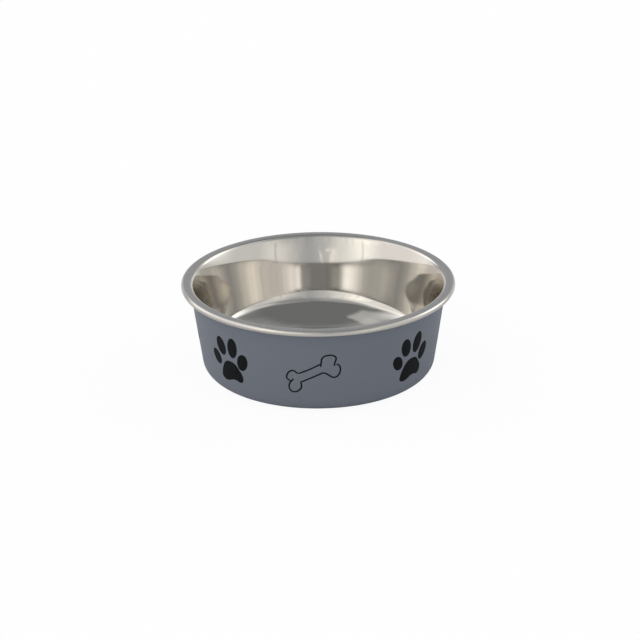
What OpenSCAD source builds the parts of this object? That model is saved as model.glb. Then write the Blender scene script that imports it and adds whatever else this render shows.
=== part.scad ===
// Double-walled dog bowl: a drawn stainless bowl whose rolled rim grips the flange of a moulded
// plastic shell, standing on a rubber ring that pulls out of a channel in the shell's underside.
// The origin is the centre of the resting plane, and the bowl's axis is Z.

/* [Overall] */
// Diameter over the rolled rim
rim_d = 170; // [164:1:200]
// Height from the resting plane to the top of the rim
bowl_h = 59; // [46:0.5:80]
// Height from the resting plane to the floor of the well
well_z = 5.2; // [4.8:0.1:7]

/* [Steel bowl] */
// Thickness of the stainless sheet
sheet_t = 0.6; // [0.4:0.05:0.8]
// Width of the rim, from its rounded inner edge to the outside of the roll
rim_w = 7.5; // [6.8:0.1:9]
// Diameter of the rolled edge
roll_d = 3.9; // [3.6:0.1:5]
// Radius of the rim's rounded inner edge
rim_edge_r = 3; // [1.6:0.1:3.4]
// Slope of the wall from upright where it leaves the rim
flare_angle = 23.1; // [20:0.5:26]
// Radius of the flared stretch below the rim
flare_r = 66; // [50:1:100]
// Slope of the wall from upright where the flare ends
wall_angle = 14.5; // [13.5:0.1:16]
// Radius of the wall's long shallow curve
wall_r = 670; // [500:5:900]
// Radius of the bend at the foot of the wall
bend_r = 66; // [40:1:90]
// Slope from upright where the bend ends
bend_angle = 21; // [19:0.5:24]
// Radius of the knuckle where the wall breaks into the dished floor
knuckle_r = 6.8; // [5:0.1:10]
// Slope from upright where the knuckle ends
knuckle_angle = 60; // [50:0.5:66]
// Radius of the dished floor
dish_r = 87; // [70:1:110]
// Slope from upright where the dish flattens out
dish_angle = 79.5; // [76:0.5:83]
// Radius of the last stretch into the flat middle of the floor
flatten_r = 95; // [70:1:130]

/* [Shell] */
// How far the shell's face stands in from the rim's outside, level with the rim's top
shell_inset = 5.05; // [4.8:0.05:5.6]
// Draft of the shell's side
shell_draft = 7.95; // [6:0.05:9]
// Radius of the shell's lower corner
shell_corner_r = 8.3; // [5:0.1:9]
// Thickness of the shell's side
shell_t = 1.6; // [1.2:0.1:1.9]
// Thickness of the shell's floor
shell_floor_t = 1.4; // [1.1:0.1:1.7]
// Thickness of the flange under the rim
flange_t = 0.9; // [0.6:0.05:1.1]
// Fillet under the flange
flange_fillet_r = 1.2; // [0.6:0.1:1.3]
// Clearance between the shell's top and the sheet
seat_gap = 0.12; // [0.05:0.01:0.15]
// Clearance between the sheet's rolled-in edge and the flange
roll_gap = 0.3; // [0.15:0.05:0.5]

/* [Rubber ring] */
// Middle diameter of the ring
ring_mid_d = 118; // [100:1:118]
// Width of the ring
ring_w = 7; // [4:0.1:7.2]
// Part of the ring that stands proud below the shell
ring_proud = 1.1; // [0.6:0.1:1.6]
// Clearance on each side of the ring in its channel
ring_gap = 0.3; // [0.2:0.05:0.5]
// Bevel round the mouth of the ring's channel
mouth_bevel = 0.5; // [0.2:0.1:0.7]
// Radius of the ring's corners
ring_corner_r = 0.6; // [0.3:0.1:0.9]
// Number of grip grooves under the ring
groove_count = 2; // [0:1:3]
// Width of a grip groove
groove_w = 0.9; // [0.5:0.1:1.2]
// Depth of a grip groove
groove_depth = 0.6; // [0.3:0.1:1]

/* [Hidden] */

steel_colour = "silver";
shell_colour = "slategray";
rubber_colour = "dimgray";

// Steps of a full turn, and of an arc of the section
turn_steps = 240;
arc_step_angle = 4;
flat_arc_step_angle = 0.75;

// A point at the given distance from a centre, on the side of the given angle
function polar(centre, radius, angle) = centre + radius * [cos(angle), sin(angle)];

// Points along an arc, close enough together that it reads as a smooth curve
function arc(centre, radius, from, to, step) =
    let (n = max(1, ceil(abs(to - from) / step)))
    [for (i = [0:n]) polar(centre, radius, from + (to - from) * i / n)];

// Points in the opposite order
function reversed(points) = [for (i = [len(points) - 1:-1:0]) points[i]];

// Heights, from the resting plane up
seat_z = well_z - sheet_t;
panel_z = seat_z - shell_floor_t;
land_z = bowl_h - sheet_t;

// Rolled edge and rounded inner edge of the rim
rim_r = rim_d / 2;
roll_r = roll_d / 2;
roll_centre = [rim_r - roll_r, bowl_h - roll_r];
edge_centre = [rim_r - rim_w + rim_edge_r, bowl_h - rim_edge_r];

// Flange of the shell, and the end of the roll just below it
flange_top_z = land_z - seat_gap;
flange_low_z = flange_top_z - flange_t;
roll_end_rise = flange_low_z - roll_gap - roll_centre.y;
roll_end_angle = -180 - asin(roll_end_rise / roll_r);

// Centres of the flare and of the wall's long curve, each tangent to the stretch above it
flare_top = polar(edge_centre, rim_edge_r, 180 - flare_angle);
flare_centre = polar(flare_top, flare_r, -flare_angle);
flare_end = polar(flare_centre, flare_r, 180 - wall_angle);
wall_centre = polar(flare_end, wall_r, -wall_angle);

// Height of the bend's centre above the floor: what the arcs below the wall add up to
bend_rise =
    bend_r * sin(bend_angle)
    + knuckle_r * (sin(knuckle_angle) - sin(bend_angle))
    + dish_r * (sin(dish_angle) - sin(knuckle_angle))
    + flatten_r * (1 - sin(dish_angle));

// The wall ends where the arcs below it, each tangent to the next, come out level with the floor
wall_end_angle = asin((well_z + bend_rise - wall_centre.y) / (wall_r + bend_r));
bend_centre = polar(wall_centre, wall_r + bend_r, 180 - wall_end_angle);
knuckle_centre = polar(bend_centre, knuckle_r - bend_r, 180 - bend_angle);
dish_centre = polar(knuckle_centre, dish_r - knuckle_r, 180 - knuckle_angle);
flatten_centre = polar(dish_centre, flatten_r - dish_r, 180 - dish_angle);

// One face of the sheet, at a depth below the face that shows: the flat floor, the dish, the
// knuckle, the bend, the wall, the flare, the rim's inner edge, its flat land and the roll
function sheet_face(depth) = concat(
    [[0, well_z - depth]],
    arc(flatten_centre, flatten_r + depth, -90, -dish_angle, flat_arc_step_angle * 2),
    arc(dish_centre, dish_r + depth, -dish_angle, -knuckle_angle, arc_step_angle / 2),
    arc(knuckle_centre, knuckle_r + depth, -knuckle_angle, -bend_angle, arc_step_angle),
    arc(bend_centre, bend_r + depth, -bend_angle, -wall_end_angle, flat_arc_step_angle * 2),
    arc(wall_centre, wall_r - depth, 180 - wall_end_angle, 180 - wall_angle, flat_arc_step_angle / 3),
    arc(flare_centre, flare_r - depth, 180 - wall_angle, 180 - flare_angle, flat_arc_step_angle),
    arc(edge_centre, rim_edge_r - depth, 180 - flare_angle, 90, arc_step_angle * 2),
    arc(roll_centre, roll_r - depth, 90, roll_end_angle, arc_step_angle * 2)
);

// Outside of the shell's side: its radius level with the rim's top, and a point and direction on it
side_top = [rim_r - shell_inset, bowl_h];
function side_r(z) = side_top.x - (bowl_h - z) * tan(shell_draft);
corner_z = ring_proud + shell_corner_r;
corner_centre = [side_r(corner_z) - shell_corner_r / cos(shell_draft), corner_z];

// Fillet between the side and the flange
flange_fillet_z = flange_low_z - flange_fillet_r;
flange_fillet_centre = [
    side_r(flange_fillet_z) + flange_fillet_r / cos(shell_draft),
    flange_fillet_z
];

// Bead on the flange's edge, which fills the roll but for the clearance
bead_r = roll_r - sheet_t - seat_gap;
bead_end_angle = -180 - asin((flange_low_z - roll_centre.y) / bead_r);

// Near the top the shell's inner face follows the flare, and leaves it where the full thickness fits
hug_depth = sheet_t + seat_gap;
hug_r = flare_r - hug_depth;
side_normal = [-cos(shell_draft), sin(shell_draft)];
full_t_angle = shell_draft + acos((shell_t - (flare_centre - side_top) * side_normal) / hug_r);
hug_end_angle = min(full_t_angle, flare_angle);

// Outside of the shell, from the axis round the corner and up to the bead
shell_outline = concat(
    [[0, ring_proud]],
    arc(corner_centre, shell_corner_r, -90, -shell_draft, arc_step_angle),
    arc(flange_fillet_centre, flange_fillet_r, 180 - shell_draft, 90, arc_step_angle * 4),
    reversed(arc(roll_centre, bead_r, 90, bead_end_angle, arc_step_angle * 2)),
    arc(edge_centre, rim_edge_r - hug_depth, 90, 180 - flare_angle, arc_step_angle * 2),
    [[0, flare_top.y]]
);

// Inside of the shell, from the axis round the corner and up to the flange
cavity_outline = concat(
    [[0, ring_proud + shell_t]],
    arc(corner_centre, shell_corner_r - shell_t, -90, -shell_draft, arc_step_angle),
    arc(flare_centre, hug_r, 180 - hug_end_angle, 180 - flare_angle, flat_arc_step_angle),
    [[0, flare_top.y]]
);

// Channel for the rubber ring, with a wall of the shell's own thickness on its inside
channel_in_r = ring_mid_d / 2 - ring_w / 2 - ring_gap;
channel_out_r = ring_mid_d / 2 + ring_w / 2 + ring_gap;
panel_r = channel_in_r - shell_t;

// Raised panel in the middle of the underside, and the channel round it, each with a bevelled mouth
panel_outline = [
    [0, 0],
    [panel_r + mouth_bevel, 0],
    [panel_r + mouth_bevel, ring_proud],
    [panel_r, ring_proud + mouth_bevel],
    [panel_r, panel_z],
    [0, panel_z]
];
channel_outline = [
    [channel_in_r - mouth_bevel, 0],
    [channel_out_r + mouth_bevel, 0],
    [channel_out_r + mouth_bevel, ring_proud],
    [channel_out_r, ring_proud + mouth_bevel],
    [channel_out_r, panel_z],
    [channel_in_r, panel_z],
    [channel_in_r, ring_proud + mouth_bevel],
    [channel_in_r - mouth_bevel, ring_proud]
];

// Drawn stainless bowl, one sheet from the floor to the rolled edge
module steel_bowl() {
    color(steel_colour)
        rotate_extrude($fn = turn_steps)
            polygon(concat(sheet_face(0), reversed(sheet_face(sheet_t))));
}

// Space inside the shell: full height at the side, and a raised seat under the steel floor
module cavity_section() {
    difference() {
        polygon(cavity_outline);
        square([channel_out_r + shell_t, seat_z]);
    }
}

// Moulded shell, with the ring's channel and a raised panel in its underside
module outer_shell() {
    color(shell_colour)
        rotate_extrude($fn = turn_steps)
            difference() {
                polygon(shell_outline);
                cavity_section();
                polygon(panel_outline);
                polygon(channel_outline);
            }
}

// Section of the ring: a flat band with rounded corners
module ring_section() {
    low = ring_corner_r;
    high = panel_z - ring_corner_r;
    side = ring_w / 2 - ring_corner_r;
    polygon(concat(
        arc([side, low], ring_corner_r, -90, 0, arc_step_angle * 3),
        arc([side, high], ring_corner_r, 0, 90, arc_step_angle * 3),
        arc([-side, high], ring_corner_r, 90, 180, arc_step_angle * 3),
        arc([-side, low], ring_corner_r, 180, 270, arc_step_angle * 3)
    ));
}

// Rubber ring with grip grooves underneath
module rubber_ring() {
    pitch = ring_w / (groove_count + 1);
    color(rubber_colour)
        rotate_extrude($fn = turn_steps)
            translate([ring_mid_d / 2, 0])
                difference() {
                    ring_section();
                    for (i = [1:1:groove_count])
                        translate([i * pitch - ring_w / 2 - groove_w / 2, 0])
                            square([groove_w, groove_depth]);
                }
}

steel_bowl();
outer_shell();
rubber_ring();
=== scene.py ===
# Double-walled dog bowl: a polished steel bowl in a matte grey-blue plastic shell with printed paws
# and bones, on a black rubber ring, standing on a pale floor in soft studio light.
import math
import bpy
import numpy as np
from mathutils import Matrix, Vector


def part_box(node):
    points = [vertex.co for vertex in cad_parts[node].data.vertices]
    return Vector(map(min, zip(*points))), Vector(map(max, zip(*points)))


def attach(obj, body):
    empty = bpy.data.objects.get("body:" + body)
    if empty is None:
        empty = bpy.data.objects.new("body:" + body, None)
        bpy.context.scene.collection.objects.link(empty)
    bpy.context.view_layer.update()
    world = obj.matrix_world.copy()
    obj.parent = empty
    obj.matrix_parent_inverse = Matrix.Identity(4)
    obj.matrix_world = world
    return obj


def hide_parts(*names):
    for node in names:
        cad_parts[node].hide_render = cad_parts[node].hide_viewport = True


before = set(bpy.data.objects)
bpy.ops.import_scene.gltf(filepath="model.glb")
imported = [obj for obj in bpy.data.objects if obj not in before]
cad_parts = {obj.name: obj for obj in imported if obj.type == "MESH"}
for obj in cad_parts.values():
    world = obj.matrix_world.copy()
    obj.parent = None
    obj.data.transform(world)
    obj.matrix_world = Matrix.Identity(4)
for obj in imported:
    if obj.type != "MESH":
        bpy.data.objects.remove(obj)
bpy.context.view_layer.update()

# Camera
# A long lens looks down on the bowl from the side with the bone print in the middle. The picture
# it gives has its level lines turned by half a degree, and the bowl a hair left of the middle.
MM = 0.001
camera_elevation = math.radians(22.69)
camera_distance = 1326.1 * MM
camera_target_z = 30.04 * MM
camera_lens = 119.14
camera_sensor = 36.0
camera_turn = math.radians(0.487)
aim_right = 0.977 * MM
aim_up = 1.027 * MM

back = np.array([0.0, -math.cos(camera_elevation), math.sin(camera_elevation)])
level_right = np.array([1.0, 0.0, 0.0])
level_up = np.array([0.0, math.sin(camera_elevation), math.cos(camera_elevation)])
eye = np.array([0.0, 0.0, camera_target_z]) + camera_distance * back
aim = np.array([0.0, 0.0, camera_target_z]) + aim_right * level_right + aim_up * level_up
view_back = (eye - aim) / np.linalg.norm(eye - aim)
turned_up = level_up + math.tan(camera_turn) * level_right
view_right = np.cross(turned_up, view_back)
view_right /= np.linalg.norm(view_right)
view_up = np.cross(view_back, view_right)

camera_data = bpy.data.cameras.new("camera")
camera_data.lens = camera_lens
camera_data.sensor_width = camera_sensor
camera = bpy.data.objects.new("camera", camera_data)
matrix = np.eye(4)
matrix[:3, :3] = np.column_stack([view_right, view_up, view_back])
matrix[:3, 3] = eye
camera.matrix_world = Matrix(matrix.tolist())
bpy.context.scene.collection.objects.link(camera)
bpy.context.scene.camera = camera
bpy.context.scene.view_settings.view_transform = "Standard"
# The well's walls mirror each other many times over
bpy.context.scene.cycles.max_bounces = 16
bpy.context.scene.cycles.glossy_bounces = 16


# Studio light
# The bowl stands in a pale room lit unevenly: a window behind on the left and a brighter one behind on
# the right, white walls on both sides, a lamp in front on the left and a weaker one on the right, a
# soft box high up at the back, and two thin dark lamp stands. The panels' edges are slightly ragged.
def linear(code):
    """The linear RGB of an sRGB hex code such as "#808080"."""
    s = np.array([int(code[i:i + 2], 16) for i in (1, 3, 5)]) / 255
    return np.where(s <= 0.04045, s / 12.92, ((s + 0.055) / 1.055) ** 2.4)


def add(tree, kind, inputs=(), **settings):
    """A new node. Settings are its properties. Its inputs are given by name or in their order, each
    as a value, or as a socket to link from, or as a node whose first output is linked."""
    node = tree.nodes.new("ShaderNode" + kind)
    for name, value in settings.items():
        setattr(node, name, value)
    for place, value in inputs.items() if isinstance(inputs, dict) else enumerate(inputs):
        if isinstance(value, bpy.types.Node):
            value = value.outputs[0]
        if isinstance(value, bpy.types.NodeSocket):
            tree.links.new(value, node.inputs[place])
        else:
            node.inputs[place].default_value = value
    return node


world = bpy.data.worlds.new("studio")
world.use_nodes = True
bpy.context.scene.world = world
sky = world.node_tree
sky.nodes.clear()
direction = add(sky, "TexCoord").outputs["Generated"]
xyz = add(sky, "SeparateXYZ", [direction]).outputs
rise = add(sky, "Math", [xyz["Z"]], operation="ARCSINE")
elevation = add(sky, "Math", [rise], operation="DEGREES")
to_camera = add(sky, "Math", [xyz["Y"], -1.0], operation="MULTIPLY")
turn = add(sky, "Math", [xyz["X"], to_camera], operation="ARCTAN2")
# Azimuth 0 is the side that the main view looks from, and 90 is +X
plain_azimuth = add(sky, "Math", [turn], operation="DEGREES")


def ragged_azimuth(scale, amount):
    """The azimuth plus amount (noise - 1/2) degrees, so that upright edges come out uneven."""
    noise = add(sky, "TexNoise", {"Vector": direction, "Scale": scale, "Detail": 3.0})
    shift = add(sky, "Math", [noise, 0.5], operation="SUBTRACT")
    return add(sky, "Math", [shift, amount, plain_azimuth], operation="MULTIPLY_ADD")


def patch(azimuth, centre, left, right, top, bottom=None):
    """1 within a patch of the room's wall and 0 outside: the product of a smooth step at each edge.
    An edge is (place, softness) in degrees; left and right are counted from the centre's azimuth."""
    apart = add(sky, "Math", [azimuth, centre], operation="SUBTRACT")
    aside = add(sky, "Math", [apart, 180.0, -180.0], operation="WRAP")
    edges = [(aside, left, 0.0, 1.0), (aside, right, 1.0, 0.0), (elevation, top, 1.0, 0.0)]
    if bottom:
        edges.append((elevation, bottom, 0.0, 1.0))
    mask = 1.0
    for angle, (place, softness), before, after in edges:
        step = [angle, place - softness / 2, place + softness / 2, before, after]
        share = add(sky, "MapRange", step, interpolation_type="SMOOTHSTEP")
        mask = add(sky, "Math", [mask, share], operation="MULTIPLY")
    return mask


def with_panel(light, azimuth, centre, left, right, top, bottom, tint, strength):
    """The light plus a soft panel's glow, which is its tint times its strength within its patch."""
    mask = patch(azimuth, centre, left, right, top, bottom)
    glow = add(sky, "VectorMath", {0: tuple(linear(tint) * strength), "Scale": mask}, operation="SCALE")
    return add(sky, "VectorMath", [light, glow], operation="ADD")


# Centre, then left, right, top and bottom edge as (place, softness), then tint and strength
panels = [
    (-130.0, (-14.5, 5.0), (4.0, 40.0), (46.0, 23.0), (20.0, 14.0), "#fffcfb", 1.35),  # left window
    (-90.0, (-41.0, 11.0), (43.0, 40.0), (62.0, 14.0), None, "#fff7f1", 0.57),  # left wall
    (-40.0, (-12.0, 29.0), (22.0, 60.0), (46.0, 42.0), None, "#fffaee", 0.86),  # left lamp's glow
    (-54.0, (-8.0, 12.0), (8.0, 12.0), (44.0, 14.0), (20.0, 8.0), "#fffaf0", 0.22),  # and its middle
    (88.0, (-48.0, 39.0), (64.0, 21.0), (42.0, 20.0), None, "#fffdf2", 0.29),  # right wall
    (120.5, (-7.5, 68.0), (8.5, 25.0), (46.0, 30.0), (10.0, 24.0), "#feffff", 2.75),  # right window
    (-168.0, (-45.0, 36.0), (63.0, 29.0), (55.0, 8.0), None, "#fafaff", 0.2),  # back wall
    (-2.0, (-120.0, 16.0), (110.0, 50.0), (88.0, 56.0), None, "#fcfeff", 0.15),  # pale ceiling
    (-62.0, (-60.0, 16.0), (62.0, 30.0), (88.0, 56.0), None, "#fcfeff", 0.13),  # its left part
    (95.0, (-24.0, 20.0), (16.0, 40.0), (88.0, 56.0), None, "#fcfeff", 0.13),  # its right part
    (35.0, (-38.0, 20.0), (38.0, 20.0), (46.0, 8.0), None, "#fcfeff", 0.13),  # front wall
    (38.0, (-18.0, 33.0), (12.0, 22.0), (25.0, 26.0), None, "#fff5ec", 0.38),  # right lamp's glow
    (-148.0, (-8.7, 1.6), (9.0, 6.0), (63.5, 3.0), (51.0, 12.0), "#fffef7", 0.36),  # soft box
    (180.0, (-38.0, 24.0), (38.0, 24.0), (12.0, 12.0), None, "#ffffff", 0.35),  # low white board
    (-150.0, (-13.0, 12.0), (15.0, 12.0), (41.0, 10.0), (27.0, 6.0), "#fffef7", 0.13),  # back left
    (142.0, (-5.0, 8.0), (10.0, 10.0), (42.0, 8.0), (27.0, 6.0), "#fffef7", 0.1),  # back right
    (86.0, (-20.0, 20.0), (25.0, 14.0), (62.0, 6.0), (47.0, 6.0), "#fffef7", 0.28),  # high on the right
    (-86.0, (-28.0, 14.0), (28.0, 14.0), (63.0, 6.0), (50.0, 5.0), "#fffef7", 0.17),  # high on the left
]
# Torn edges in front, like the folds of a thin curtain
folds = [
    (-12.5, (-8.0, 14.0), (6.5, 1.5), (14.0, 9.0), None, "#fff6e8", 0.22),
    (-8.0, (-1.0, 1.0), (1.0, 1.0), (12.0, 8.0), None, "#fff6e8", 0.22),
    (-13.5, (-1.0, 1.0), (1.0, 1.0), (12.0, 8.0), None, "#fff6e8", 0.16),
]
room_tint = "#7e8183"
light = add(sky, "CombineXYZ", linear(room_tint))
azimuth = ragged_azimuth(scale=11.0, amount=7.0)
torn_azimuth = ragged_azimuth(scale=9.0, amount=34.0)
for panel in panels:
    light = with_panel(light, azimuth, *panel)
for fold in folds:
    light = with_panel(light, torn_azimuth, *fold)

# Faint upright streaks: noise that runs round with the azimuth, faded out low down and high up
streak_scale = 13.0
streak_depth = 0.6
streak_rise = (12.0, 28.0)
streak_fade = (48.0, 66.0)
sine = add(sky, "Math", [turn], operation="SINE")
cosine = add(sky, "Math", [turn], operation="COSINE")
around = add(sky, "CombineXYZ", [sine, cosine])
noise = add(sky, "TexNoise", {"Vector": around, "Scale": streak_scale, "Detail": 2.0})
streaks = add(sky, "Math", [noise, 0.5], operation="SUBTRACT")
for (start, end), before, after in [(streak_rise, 0.0, streak_depth), (streak_fade, 1.0, 0.0)]:
    share = add(sky, "MapRange", [elevation, start, end, before, after], interpolation_type="SMOOTHSTEP")
    streaks = add(sky, "Math", [streaks, share], operation="MULTIPLY")
shares = [add(sky, "Math", [streaks, 1.0], operation="ADD")]

# Two thin dark lamp stands, as (centre, top, the share of the light that each takes away)
stand_half = 0.95
stand_edge = 1.4
stand_top_edge = 6.0
for centre, top, taken in [(-43.5, 22.0, 0.26), (41.0, 22.0, 0.3)]:
    left, right = (-stand_half, stand_edge), (stand_half, stand_edge)
    mask = patch(plain_azimuth, centre, left, right, (top, stand_top_edge))
    shares.append(add(sky, "Math", [mask, -taken, 1.0], operation="MULTIPLY_ADD"))
for share in shares:
    light = add(sky, "VectorMath", {0: light, "Scale": share}, operation="SCALE")

# Where the room itself is seen past the floor's edge, it is a plain white backdrop
room = add(sky, "Background", {"Color": light})
backdrop = add(sky, "Background", {"Color": (*linear("#ffffff"), 1.0)})
seen = add(sky, "LightPath").outputs["Is Camera Ray"]
both = add(sky, "MixShader", [seen, room, backdrop])
add(sky, "OutputWorld", {"Surface": both})


# Floor
# A plain matte board, large enough to fill the picture from every side.
def material(name, inputs):
    """A Principled material with its constant inputs, and its tree and shader node."""
    made = bpy.data.materials.new(name)
    made.use_nodes = True
    made.node_tree.nodes.clear()
    shader = add(made.node_tree, "BsdfPrincipled", inputs)
    add(made.node_tree, "OutputMaterial", {"Surface": shader})
    return made, made.node_tree, shader


floor_half = 6.0
bleach = 0.92
bleach_strength = 1.12
floor_white = (*linear("#f5f5f6"), 1.0)
# Matt white paint, lit like the bowl; most of what is seen of it directly is bleached to white
board, tree, shader = material("painted_board", {"Base Color": floor_white, "Roughness": 0.9})
bleached = add(tree, "Emission", {"Color": floor_white, "Strength": bleach_strength})
seen = add(tree, "LightPath").outputs["Is Camera Ray"]
share = add(tree, "Math", [seen, bleach], operation="MULTIPLY")
both = add(tree, "MixShader", [share, shader, bleached])
tree.links.new(both.outputs[0], tree.nodes["Material Output"].inputs["Surface"])
floor_mesh = bpy.data.meshes.new("floor")
corners = floor_half * np.array([[-1, -1, 0], [1, -1, 0], [1, 1, 0], [-1, 1, 0]], float)
floor_mesh.from_pydata(corners.tolist(), [], [[0, 1, 2, 3]])
floor_mesh.materials.append(board)
floor = bpy.data.objects.new("floor", floor_mesh)
bpy.context.scene.collection.objects.link(floor)


# Steel bowl
# One sheet of stainless steel, drawn to a round well, trimmed, and rolled over at its edge. The
# well is polished, the rim's flat land is left satin, and the roll is burnished by its tool.
def polar(centre, radius, degrees):
    """centre + radius (cos t, sin t) for each angle t."""
    t = np.radians(np.atleast_1d(degrees))
    return np.asarray(centre) + radius * np.column_stack([np.cos(t), np.sin(t)])


def arc(centre, radius, start, end, steps):
    """Points at equal angles along an arc, in the plane of the section."""
    return polar(centre, radius, np.linspace(start, end, steps + 1))


def straight(start, end, steps):
    """Points at equal distances from start to end, both included."""
    return np.linspace(start, end, steps + 1)


def joined(*parts):
    """One outline from several, without the points that repeat."""
    points = np.vstack(parts)
    step = np.linalg.norm(np.diff(points, axis=0), axis=1)
    return points[np.concatenate([[True], step > 1e-7])]


def smooth_curve(points, per_span=8, closed=True):
    """A Catmull-Rom curve through points: for each span, the cubic that has their chords' slopes."""
    p = np.asarray(points, float)
    if closed:
        p = np.vstack([p[-1:], p, p[:2]])
    else:
        p = np.vstack([2 * p[:1] - p[1:2], p, 2 * p[-1:] - p[-2:-1]])
    t = (np.arange(per_span) / per_span)[None, :, None]
    a, b, c, d = (p[i:len(p) - 3 + i, None] for i in range(4))
    curve = 0.5 * (2 * b + (c - a) * t + (2 * a - 5 * b + 4 * c - d) * t ** 2
                   + (3 * b - a - 3 * c + d) * t ** 3)
    curve = curve.reshape(-1, 2)
    return curve if closed else np.vstack([curve, p[-2]])


def closed_surface(name, grid, loop_rows=False):
    """A mesh from a grid of points, rows by columns by 3. The columns run round and close. The rows
    close too with loop_rows; otherwise the first and the last row are each one point, a pole. The
    faces are turned over where the volume that they enclose, the sum of a . (b x c), is negative."""
    columns = grid.shape[1]
    inner = grid if loop_rows else grid[1:-1]
    index = np.arange(len(inner) * columns).reshape(-1, columns)
    low = index if loop_rows else index[:-1]
    high = np.roll(index, -1, axis=0) if loop_rows else index[1:]
    quads = np.stack([low, np.roll(low, -1, 1), np.roll(high, -1, 1), high], -1).reshape(-1, 4)
    vertices = inner.reshape(-1, 3)
    triangles = np.zeros((0, 3), int)
    if not loop_rows:
        first, last = len(vertices), len(vertices) + 1
        vertices = np.vstack([vertices, grid[0, 0], grid[-1, 0]])
        near, far = index[0], index[-1]
        fan = np.stack([np.full(columns, first), np.roll(near, -1), near], -1)
        end = np.stack([np.full(columns, last), far, np.roll(far, -1)], -1)
        triangles = np.vstack([fan, end])
    halves = np.vstack([quads[:, [0, 1, 2]], quads[:, [0, 2, 3]], triangles])
    a, b, c = (vertices[halves[:, i]] for i in range(3))
    if np.einsum("ij,ij->i", a, np.cross(b, c)).sum() < 0:
        quads = quads[:, ::-1]
        triangles = triangles[:, ::-1]
    crease = math.radians(32)
    mesh = bpy.data.meshes.new(name)
    mesh.from_pydata(vertices.tolist(), [], quads.tolist() + triangles.tolist())
    mesh.polygons.foreach_set("use_smooth", np.ones(len(mesh.polygons), bool))
    mesh.set_sharp_from_angle(angle=crease)
    piece = bpy.data.objects.new(name, mesh)
    bpy.context.scene.collection.objects.link(piece)
    return piece


def turned(section, columns=256):
    """A section of (radius, height) points carried round Z: (r cos t, r sin t, z)."""
    t = np.arange(columns) * 2 * np.pi / columns
    r, z = section[:, :1], section[:, 1:]
    return np.stack([r * np.cos(t), r * np.sin(t), z + 0 * t], -1)


steel_low, steel_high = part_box("steel_bowl")
rim_r = steel_high.x
rim_z = steel_high.z
sheet_t = 0.6 * MM
well_z = steel_low.z + sheet_t
rim_w = 7.5 * MM
roll_r = 1.95 * MM
edge_r = 3.0 * MM
# The well's slope from upright, in degrees, at distances in mm along the sheet from the rim's rounded
# edge: a smooth curve down the wall, then straight lines through the knuckle, dished floor and middle
wall_slopes = [(0, 23.8), (5, 19.0), (10, 14.6), (15, 14.1), (20, 13.1), (25, 13.9), (30, 13.9),
               (35, 17.7), (38.7, 23.0)]
floor_slopes = [(42.4, 60.2), (70.0, 76.3), (80.0, 85.8), (92.0, 90.0)]
slope_easing = 2.0
run_step = 0.05
# The mesh's rows are shared out so that this many mm of sheet count for as much as these degrees of
# its turning
row_length = 0.9
row_turn = 1.1
well_rows = 160
under_rows = 80
# The roll's cut edge stops this far below its centre's level, under the shell's flange
roll_end_rise = 0.03 * MM

roll_centre = np.array([rim_r - roll_r, rim_z - roll_r])
roll_end = -180 - math.degrees(math.asin(roll_end_rise / roll_r))
edge_centre = np.array([rim_r - rim_w + edge_r, rim_z - edge_r])

# The slopes are averaged twice over the easing length and added up along the sheet: r falls by the
# sine of the slope and z by its cosine. What the depth is still out by is shared out over it.
places = np.vstack([smooth_curve(wall_slopes, 16, closed=False), floor_slopes])
run = np.arange(0, places[-1, 0], run_step)
slope = np.interp(run, places[:, 0], places[:, 1])
window = np.full(round(slope_easing / run_step), run_step / slope_easing)
for _ in range(2):
    padded = np.concatenate([2 * slope[0] - slope[len(window):0:-1], slope, np.full(len(window), 90.0)])
    slope = np.convolve(padded, window / window.sum(), "same")[len(window):-len(window)]
top_slope = slope[0]
slope = np.radians(slope)
well_top = polar(edge_centre, edge_r, 180 - top_slope)[0]
steps = np.column_stack([np.sin(slope), np.cos(slope)]) * run_step * MM
well = well_top - np.vstack([(0, 0), np.cumsum((steps[1:] + steps[:-1]) / 2, axis=0)])
well[:, 1] = well_top[1] + (well[:, 1] - well_top[1]) * (well_z - well_top[1]) / (well[-1, 1] - well_top[1])
row_at = np.cumsum(run_step / row_length + np.abs(np.gradient(np.degrees(slope))) / row_turn)


def sheet_face(depth, rows):
    """One face of the sheet from the axis to the roll's edge, depth below the face that shows."""
    face = well + depth * np.column_stack([np.cos(slope), -np.sin(slope)])
    at = np.linspace(row_at[0], row_at[-1], rows)
    drawn = np.column_stack([np.interp(at, row_at, face[:, 0]), np.interp(at, row_at, face[:, 1])])
    return joined(
        straight((0, well_z - depth), (drawn[-1, 0], well_z - depth), 8)[:-1],
        drawn[::-1],
        arc(edge_centre, edge_r - depth, 180 - top_slope, 90, rows // 12),
        straight(edge_centre + (0, edge_r - depth), roll_centre + (0, roll_r - depth), 8),
        arc(roll_centre, roll_r - depth, 90, roll_end, rows // 4),
    )


sheet = joined(sheet_face(0, well_rows), sheet_face(sheet_t, under_rows)[::-1])
steel = closed_surface("bowl_steel", turned(sheet))


def dappled(tree, colour, size, detail, depth, roughness=0.5):
    """A colour in lighter and darker patches of a size, times 1 + depth (noise - 1/2); and the noise."""
    coordinates = add(tree, "TexCoord").outputs["Object"]
    noise = add(tree, "TexNoise", {"Vector": coordinates, "Scale": 1 / size, "Detail": detail,
                                   "Roughness": roughness})
    offset = add(tree, "Math", [noise, 0.5], operation="SUBTRACT")
    tone = add(tree, "Math", [offset, depth, 1.0], operation="MULTIPLY_ADD")
    return add(tree, "VectorMath", {0: colour, "Scale": tone}, operation="SCALE"), noise


# Stainless steel, grade 304, mirror polished in the well and satin on the land: the well mirrors
# the room and itself, and the land scatters it to an even cool grey with fine speckle
steel_tint = (*linear("#d4d0ca"), 1.0)
land_tint = (*linear("#c7c5c3"), 1.0)
well_roughness = 0.07
land_roughness = 0.42
roll_roughness = 0.24
speckle_size = 0.9 * MM
speckle_depth = 0.3
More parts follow.
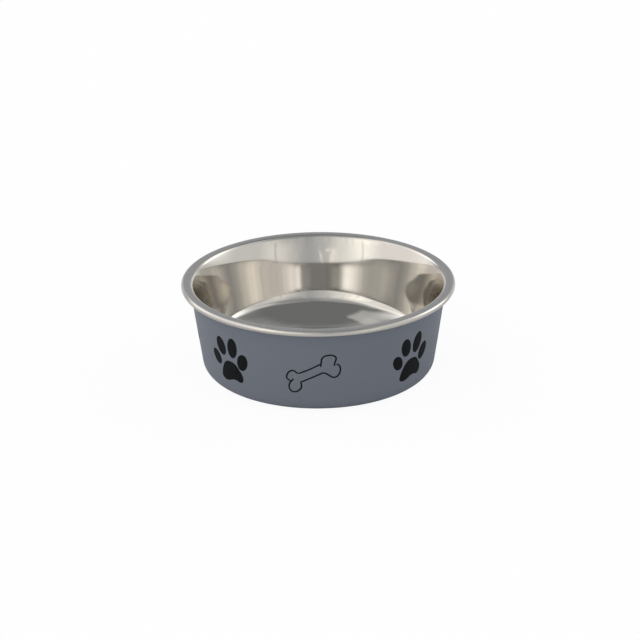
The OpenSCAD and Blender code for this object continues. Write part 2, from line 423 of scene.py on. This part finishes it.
# Each finish sets in between two radii, and the satin between two heights too
land_from, land_full = edge_centre[0] - 0.6 * edge_r, edge_centre[0] - 0.3 * edge_r
level_from, level_full = rim_z - 0.2 * edge_r, rim_z - 0.08 * edge_r
roll_from, roll_full = roll_centre[0] + 0.9 * MM, roll_centre[0] + 1.6 * MM

stainless, tree, shader = material("stainless_steel", {"Metallic": 1.0})
xyz = add(tree, "SeparateXYZ", [add(tree, "TexCoord").outputs["Object"]]).outputs
squares = [add(tree, "Math", [xyz[axis], 2.0], operation="POWER") for axis in "XY"]
sum_of_squares = add(tree, "Math", squares, operation="ADD")
radius = add(tree, "Math", [sum_of_squares], operation="SQRT")
on_land, on_level, on_roll = (
    add(tree, "MapRange", [place, start, end], interpolation_type="SMOOTHSTEP")
    for place, start, end in [(radius, land_from, land_full), (xyz["Z"], level_from, level_full),
                              (radius, roll_from, roll_full)])
satin = add(tree, "Math", [on_land, on_level], operation="MULTIPLY")
rough = well_roughness
for finish, change in [(satin, land_roughness - well_roughness), (on_roll, roll_roughness - land_roughness)]:
    rough = add(tree, "Math", [finish, change, rough], operation="MULTIPLY_ADD")
rough = add(tree, "Math", [rough, well_roughness], operation="MAXIMUM")
tint = add(tree, "Mix", {0: satin, 6: steel_tint, 7: land_tint}, data_type="RGBA").outputs[2]
depth = add(tree, "Math", [satin, speckle_depth], operation="MULTIPLY")
tint, _ = dappled(tree, tint, speckle_size, detail=3.0, depth=depth, roughness=0.6)
tree.links.new(rough.outputs[0], shader.inputs["Roughness"])
tree.links.new(tint.outputs[0], shader.inputs["Base Color"])
steel.data.materials.append(stainless)
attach(steel, "bowl")
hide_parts("steel_bowl")


# Outer shell
# One moulding in ABS, painted matte grey-blue: a tapered side, a rounded foot, a flange with a bead
# that the steel rim is rolled round, and a channel for the ring in its underside.
foot_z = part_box("outer_shell")[0].z
shell_inset = 5.05 * MM
draft = 7.95
corner_r = 8.3 * MM
shell_t = 1.6 * MM
shell_floor_t = 1.4 * MM
flange_t = 0.9 * MM
flange_fillet_r = 1.2 * MM
seat_gap = 0.12 * MM
# Its inner face follows the steel's flare under the rim
hug_angle = 23.1
flare_r = 66 * MM
bevel = 0.5 * MM
ring_gap = 0.3 * MM

seat_z = steel_low.z
panel_z = seat_z - shell_floor_t
flange_top = rim_z - sheet_t - seat_gap
flange_low = flange_top - flange_t
bead_r = roll_r - sheet_t - seat_gap
bead_end = -180 - math.degrees(math.asin((flange_low - roll_centre[1]) / bead_r))
side_slope = math.tan(math.radians(draft))
side_lean = math.cos(math.radians(draft))


def side_r(z):
    """Radius of the shell's side at a height."""
    return rim_r - shell_inset - (rim_z - z) * side_slope


corner_centre = np.array([side_r(foot_z + corner_r) - corner_r / side_lean, foot_z + corner_r])
fillet_z = flange_low - flange_fillet_r
flange_centre = np.array([side_r(fillet_z) + flange_fillet_r / side_lean, fillet_z])
hug = sheet_t + seat_gap
hug_r = flare_r - hug
flare_centre = polar(polar(edge_centre, edge_r, 180 - hug_angle)[0], flare_r, -hug_angle)[0]
side_top = np.array([rim_r - shell_inset, rim_z])
side_normal = np.array([-side_lean, math.sin(math.radians(draft))])
hug_end = draft + math.degrees(math.acos((shell_t - (flare_centre - side_top) @ side_normal) / hug_r))

ring_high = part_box("rubber_ring")[1]
ring_w = 7.0 * MM
ring_mid_r = ring_high.x - ring_w / 2
channel_in = ring_mid_r - ring_w / 2 - ring_gap
channel_out = ring_mid_r + ring_w / 2 + ring_gap
panel_r = channel_in - shell_t


def groove_mouth(radius, side):
    """The bevelled mouth of a wall of the underside; side is 1 where the plastic is further out."""
    lip = (radius + side * bevel, foot_z)
    return [lip, (radius, foot_z + bevel), (radius, panel_z)]


underside = np.array(
    [(0.0, panel_z)] + groove_mouth(panel_r, 1)[::-1]
    + groove_mouth(channel_in, -1) + groove_mouth(channel_out, 1)[::-1]
)
shell_section = joined(
    straight(underside[0], underside[1], 8)[:-1],
    underside[1:],
    arc(corner_centre, corner_r, -90, -draft, 24),
    straight(polar(corner_centre, corner_r, -draft)[0],
             polar(flange_centre, flange_fillet_r, 180 - draft)[0], 24)[1:-1],
    arc(flange_centre, flange_fillet_r, 180 - draft, 90, 8),
    arc(roll_centre, bead_r, bead_end, 90, 24),
    arc(edge_centre, edge_r - hug, 90, 180 - hug_angle, 8),
    arc(flare_centre, hug_r, 180 - hug_angle, 180 - hug_end, 12),
    arc(corner_centre, corner_r - shell_t, -draft, -90, 12),
    [(channel_out + shell_t, foot_z + shell_t), (channel_out + shell_t, seat_z), (0.0, seat_z)],
)
shell = closed_surface("shell", turned(shell_section))

# Matte lacquer on moulded ABS: a soft even grey-blue with a broad dull sheen and a grain too fine
# to see, drawn here as a faint dapple about a millimetre across
shell_tint = "#717783"
grain_size = 1.1 * MM
grain_height = 0.05 * MM
lacquer, tree, shader = material("matte_lacquered_abs", {"Roughness": 0.5, "IOR": 1.48})
tint, grain = dappled(tree, tuple(linear(shell_tint)), grain_size, detail=2.0, depth=0.05)
bump = add(tree, "Bump", {"Strength": 0.12, "Distance": grain_height, "Height": grain})
tree.links.new(tint.outputs[0], shader.inputs["Base Color"])
tree.links.new(bump.outputs[0], shader.inputs["Normal"])
shell.data.materials.append(lacquer)
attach(shell, "bowl")
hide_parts("outer_shell")


# Rubber ring
# A moulded ring of black rubber that clips into the shell's channel and keeps the bowl from
# sliding. Two grip grooves run round its underside.
ring_corner_r = 0.6 * MM
groove_count = 2
groove_w = 0.9 * MM
groove_depth = 0.6 * MM
groove_wall = 0.08 * MM
ring_top = ring_high.z
ring_side = ring_w / 2 - ring_corner_r
pitch = ring_w / (groove_count + 1)
grooves = (np.arange(groove_count) + 1) * pitch - ring_w / 2
across = np.sort(np.concatenate(
    [grooves + offset for offset in (-groove_w / 2 - groove_wall, -groove_w / 2, groove_w / 2,
                                     groove_w / 2 + groove_wall)] + [[-ring_side, 0.0, ring_side]]))
nearest = np.abs(across[:, None] - grooves).min(axis=1)
depth = groove_depth * np.clip((groove_w / 2 + groove_wall - nearest) / groove_wall, 0, 1)
ring_section = joined(
    np.column_stack([across, depth]),
    arc((ring_side, ring_corner_r), ring_corner_r, -90, 0, 8),
    arc((ring_side, ring_top - ring_corner_r), ring_corner_r, 0, 90, 8),
    arc((-ring_side, ring_top - ring_corner_r), ring_corner_r, 90, 180, 8),
    arc((-ring_side, ring_corner_r), ring_corner_r, 180, 270, 8)[:-1],
) + (ring_mid_r, 0)
ring = closed_surface("ring_rubber", turned(ring_section), loop_rows=True)

# Moulded rubber: near black and dull, with a faint bloom in patches
rubber_tint = "#2b2b2c"
bloom_size = 6 * MM
rubber, tree, shader = material("moulded_rubber", {"Roughness": 0.75})
tint, _ = dappled(tree, tuple(linear(rubber_tint)), bloom_size, detail=4.0, depth=0.5)
tree.links.new(tint.outputs[0], shader.inputs["Base Color"])
ring.data.materials.append(rubber)
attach(ring, "ring")
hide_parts("rubber_ring")


# Prints
# Four paws and four bone outlines, pad printed in black ink round the shell's side. Each is a film
# of ink that follows the side, so it is drawn flat, as distances round and up it, then wrapped.
girth_r = 76 * MM
ink_lift = 0.04 * MM
ink_sunk = 0.03 * MM


def on_side(flat, height):
    """Flat points (round, up from the foot) laid on the shell's side, height above its surface."""
    turn = flat[..., 0] / girth_r
    z = foot_z + flat[..., 1]
    r = side_r(z) + height * side_lean
    return np.stack([r * np.sin(turn), -r * np.cos(turn), z - height * (1 - side_lean ** 2) ** 0.5], -1)


def film(outline, rings=6):
    """A film that fills a closed outline round its middle: rings shrink to the middle on both faces."""
    middle = outline.mean(axis=0)
    share = np.linspace(0, 1, rings + 1)
    share = np.concatenate([share, share[::-1]])
    height = np.where(np.arange(len(share)) <= rings, ink_lift, -ink_sunk)
    flat = middle + share[:, None, None] * (outline - middle)
    return on_side(flat, np.broadcast_to(height[:, None], flat.shape[:2]))


def oval(middle, tall, wide, lean, steps=48):
    """An ellipse whose long axis leans to the right of upright by an angle in degrees."""
    t = np.linspace(0, 2 * np.pi, steps, endpoint=False)
    long, short = tall * np.cos(t), wide * np.sin(t)
    c, s = math.cos(math.radians(lean)), math.sin(math.radians(lean))
    return np.column_stack([middle[0] + long * s + short * c, middle[1] + long * c - short * s])


# A paw in mm from the pad's middle: four toes as (middle, half height, half width, lean), and the pad
toes = [
    ((-12.1, 6.1), 5.2, 3.6, -28.0),
    ((-6.4, 15.1), 6.2, 3.9, -12.0),
    ((3.4, 16.1), 6.9, 3.9, 9.0),
    ((10.4, 8.1), 5.9, 3.9, 20.0),
]
pad = [(0.0, 6.3), (4.0, 5.5), (7.0, 2.5), (9.3, -1.0), (9.7, -3.5), (8.8, -5.9), (6.5, -6.6), (4.0, -5.9),
       (1.0, -6.0), (-2.0, -7.2), (-5.0, -8.0), (-7.5, -7.7), (-9.2, -6.3), (-9.2, -4.0), (-8.0, -0.5),
       (-6.0, 3.0), (-3.5, 5.5)]
paw_middle_up = 19.5

# Pad printing ink: flat black with hardly any gloss, a little uneven where the pad pressed it on
ink_tint = "#0b0e12"
mottle_size = 2.5 * MM
ink, tree, shader = material("pad_printing_ink", {"Roughness": 0.55, "IOR": 1.2})
tint, _ = dappled(tree, tuple(linear(ink_tint)), mottle_size, detail=3.0, depth=0.5)
tree.links.new(tint.outputs[0], shader.inputs["Base Color"])


def printed(name, grid):
    """A film of ink on the shell."""
    piece = closed_surface(name, grid)
    piece.data.materials.append(ink)
    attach(piece, "bowl")
    return piece


# The left front paw's place and the gap to the right one, in mm round the side from the middle of the
# main view; the other paws share the rest of the girth evenly
front_left = -60.0
front_gap = 124.0
girth = 2 * math.pi * girth_r / MM
back_step = (girth - front_gap) / 3
paw_places = [front_left + front_gap + back_step * k for k in range(4)]
for number, place in enumerate(paw_places):
    at = np.array([place, paw_middle_up])
    for toe, (middle, tall, wide, lean) in enumerate(toes):
        outline = (oval(middle, tall, wide, lean) + at) * MM
        printed(f"paw_{number + 1}_toe_{toe + 1}", film(outline))
    printed(f"paw_{number + 1}_pad", film((smooth_curve(pad, 6) + at) * MM, 10))

# A bone in mm from its own middle, as the strokes of one pen line, each ending where the line turns
# sharply: the left end's lower lobe, the lower edge with the right end's lower lobe, its upper lobe,
# the upper edge, and the left end's upper lobe
line_w = 0.98
bone_strokes = [
    [(-11.9, -3.4), (-13.0, -5.0), (-14.2, -6.4), (-14.9, -8.6), (-14.6, -10.8), (-13.2, -12.4),
     (-11.2, -12.6), (-9.4, -11.8), (-7.7, -10.2), (-7.2, -8.4), (-7.4, -6.4), (-7.5, -5.7)],
    [(-7.5, -5.7), (-6.5, -5.1), (3.4, -0.2), (5.9, 0.9), (7.9, 0.4), (9.9, -1.0), (12.0, -2.3),
     (13.6, -2.2), (15.2, -1.0), (16.2, 1.4), (16.3, 3.9), (15.5, 5.7), (13.9, 6.9)],
    [(12.7, 5.4), (12.9, 7.4), (13.6, 10.0), (13.3, 11.6), (11.8, 12.7), (9.2, 13.0), (6.8, 12.3),
     (5.4, 10.8), (4.9, 8.4), (4.6, 5.0)],
    [(4.6, 6.8), (3.4, 6.4), (-1.6, 3.6), (-6.6, 1.2), (-9.0, 0.2)],
    [(-9.0, 0.2), (-9.9, 0.8), (-11.2, 1.9), (-12.6, 2.1), (-14.5, 1.0), (-15.8, -1.0),
     (-16.2, -2.7), (-15.6, -4.0), (-14.2, -5.0), (-13.5, -5.3)],
]
bone_middle_up = 26.6


def stroke(points, width):
    """A pen line along an open curve: a flat band of ink, its width eased to nothing at round ends."""
    path = smooth_curve(points, 6, closed=False)
    step = np.gradient(path, axis=0)
    step /= np.linalg.norm(step, axis=1, keepdims=True)
    sideways = np.column_stack([step[:, 1], -step[:, 0]])
    run = np.concatenate([[0], np.cumsum(np.linalg.norm(np.diff(path, axis=0), axis=1))])
    to_end = np.clip(np.minimum(run, run[-1] - run) / (width / 2), 0, 1)
    half = width / 2 * np.sqrt(1 - (1 - to_end) ** 2)
    across = np.array([-1, -0.5, 0, 0.5, 1, 1, 0, -1])
    height = np.array([ink_lift] * 5 + [-ink_sunk] * 3)
    flat = path[:, None] + half[:, None, None] * across[:, None] * sideways[:, None]
    return on_side(flat * MM, np.broadcast_to(height, flat.shape[:2]))


# The front bone lies a little left of the middle between its paws, the others halfway between theirs
front_bone = -3.5
bone_places = [front_bone] + [front_left + front_gap + back_step * (k + 0.5) for k in range(3)]
for number, place in enumerate(bone_places):
    for part, points in enumerate(bone_strokes):
        moved = np.array(points) + (place, bone_middle_up)
        printed(f"bone_{number + 1}_line_{part + 1}", stroke(moved, line_w))
